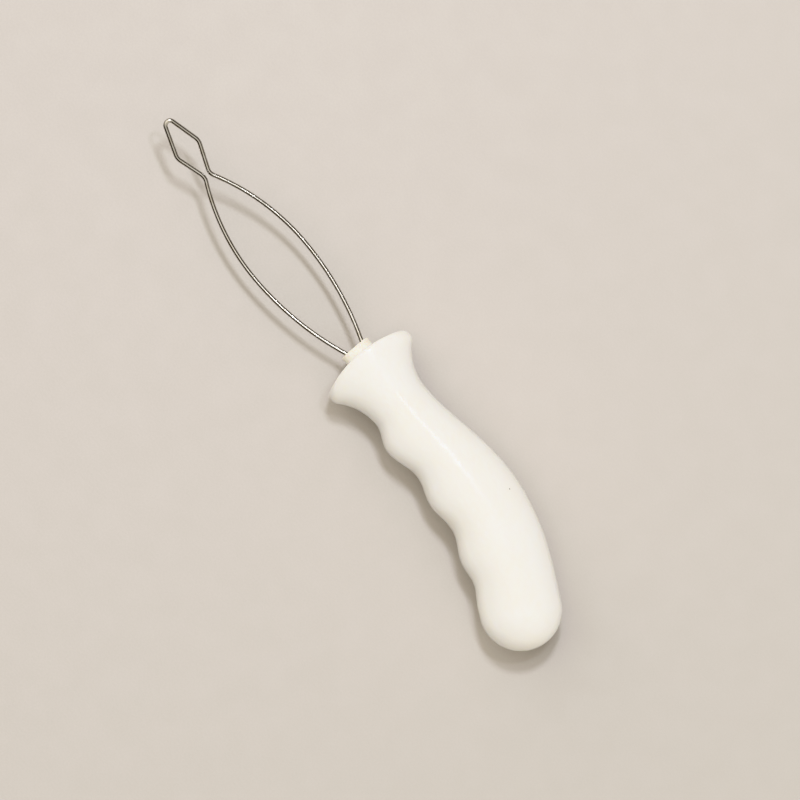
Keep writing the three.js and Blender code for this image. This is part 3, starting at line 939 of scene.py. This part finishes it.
def cream_plastic(scene):
    """Harder moulded plastic, a little yellower and clearer than the grip."""
    plug = scene.buttonhook_plug
    material, tree, shader, place = new_material(
        "cream_plastic",
        IOR=1.49,
        Subsurface_Weight=0.45,
        Subsurface_Scale=0.002,
        Subsurface_Radius=(1.0, 0.8, 0.5),
    )
    clean = toned(plug.cream, (1.0, 1.0, 1.0))
    aged = toned(plug.cream, (0.97, 0.95, 0.88))
    skin_tone, _ = patches(tree, place, 0.006, clean, aged)
    put(tree, shader, "Base Color", skin_tone)
    sheen = grain(tree, place, pitch=0.002)
    put(tree, shader, "Roughness", ranged(tree, sheen, 0.3, 0.7, 0.26, 0.38))
    relief(tree, shader, [(grain(tree, place, pitch=0.0007), 0.00001)])
    return material


def bright_steel(scene):
    """Drawn spring wire: bright, with fine lines along it and a few dull patches."""
    hook = scene.buttonhook_hook
    material, tree, shader, _ = new_material("bright_steel", Metallic=1.0)
    drawn = node(tree, "ShaderNodeAttribute", {}, attribute_name="drawn_out").outputs["Vector"]
    clean = toned(hook.steel, (1.0, 1.0, 1.0))
    aged = toned(hook.steel, (0.8, 0.77, 0.72))
    scored = toned(hook.steel, (0.6, 0.58, 0.55))
    metal_tone, dull = patches(tree, drawn, 0.004, clean, aged)
    lines = grain(tree, drawn, pitch=0.00012, stretch=60.0)
    metal_tone = mixed(tree, ranged(tree, lines, 0.4, 0.7, 0.0, 0.25), metal_tone, scored)
    put(tree, shader, "Base Color", metal_tone)
    put(tree, shader, "Roughness", calc(tree, "MULTIPLY_ADD", dull, 0.08, 0.12))
    relief(tree, shader, [(lines, 0.000004)])
    return material


def floor_paint(scene):
    """A pale, matt floor: painted light falloff makes it a little paler at one end and darker at
    the other, with a fine tooth, patches and dust.
    """
    stage = scene.buttonhook_stage
    material, tree, shader, place = new_material("pale_floor")
    # Painted light falloff: the floor's colour runs from a darker painted shade tone to a paler
    # painted light tone along +X and +Y, standing in for uneven light across the floor.
    lean = vector_calc(tree, "DOT_PRODUCT", place, (1.0, 0.5, 0.0)).outputs["Value"]
    painted_shade_tone = toned(stage.floor_tone, (0.977, 0.977, 0.972))
    pale = toned(stage.floor_tone, (1.03, 1.03, 1.034))
    ground = mixed(tree, ranged(tree, lean, -0.15, 0.15, 0.0, 1.0), painted_shade_tone, pale)
    tooth = ranged(tree, grain(tree, place, pitch=0.0007), 0.35, 0.65, 0.0, 0.3)
    blotch = ranged(tree, grain(tree, place, pitch=0.012), 0.35, 0.65, 0.0, 0.12)
    darker = toned(stage.floor_tone, (0.93, 0.927, 0.92))
    ground = mixed(tree, calc(tree, "ADD", tooth, blotch), ground, darker)
    dust = specks(tree, place, spacing=0.02, radius=0.00022, share=0.3)
    ground = mixed(tree, calc(tree, "MULTIPLY", dust, 0.55), ground, FLOOR_DUST)
    put(tree, shader, "Base Color", ground)
    sheen = grain(tree, place, pitch=0.01)
    put(tree, shader, "Roughness", ranged(tree, sheen, 0.3, 0.7, 0.75, 0.9))
    relief(tree, shader, [(grain(tree, place, pitch=0.0008, detail=3.0), 0.00002)])
    return material


# ---- Stage ----


def make_floor(scene):
    stage = scene.buttonhook_stage
    sides = 96
    turns = [2 * math.pi * i / sides for i in range(sides)]
    radii = (stage.floor_radius * part for part in (0.03, 0.15, 0.5, 1.0))
    rings = [[Vector((r * math.cos(a), r * math.sin(a), 0)) for a in turns] for r in radii]
    points = [p for ring in rings for p in ring]
    faces = [tuple(range(sides))] + between_rings(len(rings), sides)
    mesh = new_mesh("floor", points, faces, Matrix.Identity(4))
    floor = new_piece("floor", mesh, floor_paint(scene))
    return floor


def make_lamp(scene, name, towards, radius, power):
    stage = scene.buttonhook_stage
    lamp = bpy.data.lights.new(name, "AREA")
    lamp.shape = "DISK"
    lamp.size = 2 * radius
    lamp.energy = power
    lamp.color = stage.lamp_colour
    light = bpy.data.objects.new(name, lamp)
    along = Vector(towards).normalized()
    light.location = along * stage.lamp_distance
    light.rotation_euler = along.to_track_quat("Z", "Y").to_euler()
    scene.collection.objects.link(light)
    return light


def soft_glow(tree, view, towards, breadth, strength):
    """Brightness of one broad patch of light on the room's walls; a higher power is narrower."""
    facing = vector_calc(tree, "DOT_PRODUCT", view, towards).outputs["Value"]
    inside = calc(tree, "MAXIMUM", facing, 0.0)
    return calc(tree, "MULTIPLY", calc(tree, "POWER", inside, breadth), strength)


def make_room(scene):
    """The room's own light: a broad fill, a side, a low bounce and a narrow glow overhead."""
    stage = scene.buttonhook_stage
    world = bpy.data.worlds.new("room")
    world.use_nodes = True
    scene.world = world
    tree = world.node_tree
    tree.nodes.clear()
    view = node(tree, "ShaderNodeTexCoord", {}).outputs["Generated"]
    glows = [
        (stage.fill_direction, stage.breadth, stage.fill),
        (stage.side_direction, stage.breadth, stage.side),
        (stage.bounce_direction, stage.breadth, stage.bounce),
        (UP, stage.overhead_breadth, stage.overhead),
    ]
    bright = 0.0
    for towards, breadth, strength in glows:
        bright = calc(tree, "ADD", bright, soft_glow(tree, view, towards, breadth, strength))
    room, tone = (*stage.room_colour, 1.0), (*stage.floor_tone, 1.0)
    lighting = node(tree, "ShaderNodeBackground", {"Color": room, "Strength": bright})
    backdrop = node(tree, "ShaderNodeBackground", {"Color": tone, "Strength": 1.0})
    seen = node(tree, "ShaderNodeLightPath", {}).outputs["Is Camera Ray"]
    chosen = node(tree, "ShaderNodeMixShader", {0: seen})
    tree.links.new(lighting.outputs[0], chosen.inputs[1])
    tree.links.new(backdrop.outputs[0], chosen.inputs[2])
    tree.links.new(chosen.outputs[0], tree.nodes.new("ShaderNodeOutputWorld").inputs[0])
    return world


def make_camera(scene):
    """Straight above the tool, turned so that its tip points to the upper left."""
    stage = scene.buttonhook_stage
    data = bpy.data.cameras.new("camera")
    data.lens = stage.lens
    distance = stage.view_width * stage.lens / data.sensor_width
    data.clip_start = 0.01
    data.clip_end = 50.0
    camera = bpy.data.objects.new("camera", data)
    camera.location = (stage.view_x, stage.view_y, stage.view_height + distance)
    camera.rotation_euler = (0.0, 0.0, stage.view_turn)
    scene.collection.objects.link(camera)
    scene.camera = camera
    return camera


# ---- Operators ----


class BUTTONHOOK_OT_stage(Operator):
    """Makes the floor, the light and the camera"""

    bl_idname = "buttonhook.stage"
    bl_label = "Set the Stage"

    def execute(self, context):
        scene = context.scene
        scene.view_settings.view_transform = "Khronos PBR Neutral"
        make_floor(scene)
        stage = scene.buttonhook_stage
        make_lamp(scene, "key", stage.key_direction, stage.key_radius, stage.key_power)
        make_lamp(scene, "spark", stage.spark_direction, stage.spark_radius, stage.spark_power)
        make_room(scene)
        make_camera(scene)
        return {"FINISHED"}


class BUTTONHOOK_OT_grip(Operator):
    """Makes the moulded finger grip"""

    bl_idname = "buttonhook.grip"
    bl_label = "Make the Grip"

    def execute(self, context):
        scene = context.scene
        grip = scene.buttonhook_grip
        points, faces = GripShape(scene).skin()
        mesh = new_mesh("finger_grip", points, faces, resting_place(scene))
        rippled(mesh, grip.ripple, grip.ripple_pitch)
        piece = new_piece("finger_grip", mesh, ivory_plastic(scene), math.radians(40))
        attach(piece, "root")
        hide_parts("grip")
        return {"FINISHED"}


class BUTTONHOOK_OT_plug(Operator):
    """Makes the plug with its collar, its barbed shank and the two holes for the wire"""

    bl_idname = "buttonhook.plug"
    bl_label = "Make the Plug"

    def execute(self, context):
        scene = context.scene
        place = resting_place(scene)
        sides = scene.buttonhook_plug.sides
        body = new_mesh("barbed_plug", *turned(plug_profile(scene), sides), place)
        cutters = [new_mesh("hole", *bar, place) for bar in hole_bars(scene)]
        mesh = cut_by(body, cutters)
        piece = new_piece("barbed_plug", mesh, cream_plastic(scene), math.radians(30))
        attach(piece, "root")
        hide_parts("plug")
        return {"FINISHED"}


class BUTTONHOOK_OT_hook(Operator):
    """Makes the bent wire hook"""

    bl_idname = "buttonhook.hook"
    bl_label = "Make the Hook"

    def execute(self, context):
        scene = context.scene
        points, faces, straight = hook_bar(scene)
        mesh = new_mesh("bent_wire", points, faces, resting_place(scene))
        drawn = mesh.attributes.new("drawn_out", "FLOAT_VECTOR", "POINT")
        drawn.data.foreach_set("vector", np.array(straight, np.float32).ravel())
        piece = new_piece("bent_wire", mesh, bright_steel(scene), math.radians(50))
        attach(piece, "root")
        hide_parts("wire_hook")
        return {"FINISHED"}


class BUTTONHOOK_PT_panel(Panel):
    """Lists the steps that make the button hook"""

    bl_idname = "BUTTONHOOK_PT_panel"
    bl_label = "Button Hook"
    bl_space_type = "VIEW_3D"
    bl_region_type = "UI"
    bl_category = PANEL_TAB

    def draw(self, context):
        for step in STEPS:
            self.layout.operator(step.bl_idname)


# ---- Registration ----

STEPS = (BUTTONHOOK_OT_stage, BUTTONHOOK_OT_grip, BUTTONHOOK_OT_plug, BUTTONHOOK_OT_hook)
GROUPS = {
    "buttonhook_hook": BUTTONHOOK_PG_hook,
    "buttonhook_plug": BUTTONHOOK_PG_plug,
    "buttonhook_grip": BUTTONHOOK_PG_grip,
    "buttonhook_stage": BUTTONHOOK_PG_stage,
}
CLASSES = (*GROUPS.values(), *STEPS, BUTTONHOOK_PT_panel)


def register():
    for each in CLASSES:
        bpy.utils.register_class(each)
    for name, group in GROUPS.items():
        setattr(bpy.types.Scene, name, PointerProperty(type=group))


def unregister():
    for name in GROUPS:
        delattr(bpy.types.Scene, name)
    for each in reversed(CLASSES):
        bpy.utils.unregister_class(each)


def main():
    register()
    bpy.ops.buttonhook.stage()
    bpy.ops.buttonhook.grip()
    bpy.ops.buttonhook.plug()
    bpy.ops.buttonhook.hook()


if __name__ == "__main__":
    main()
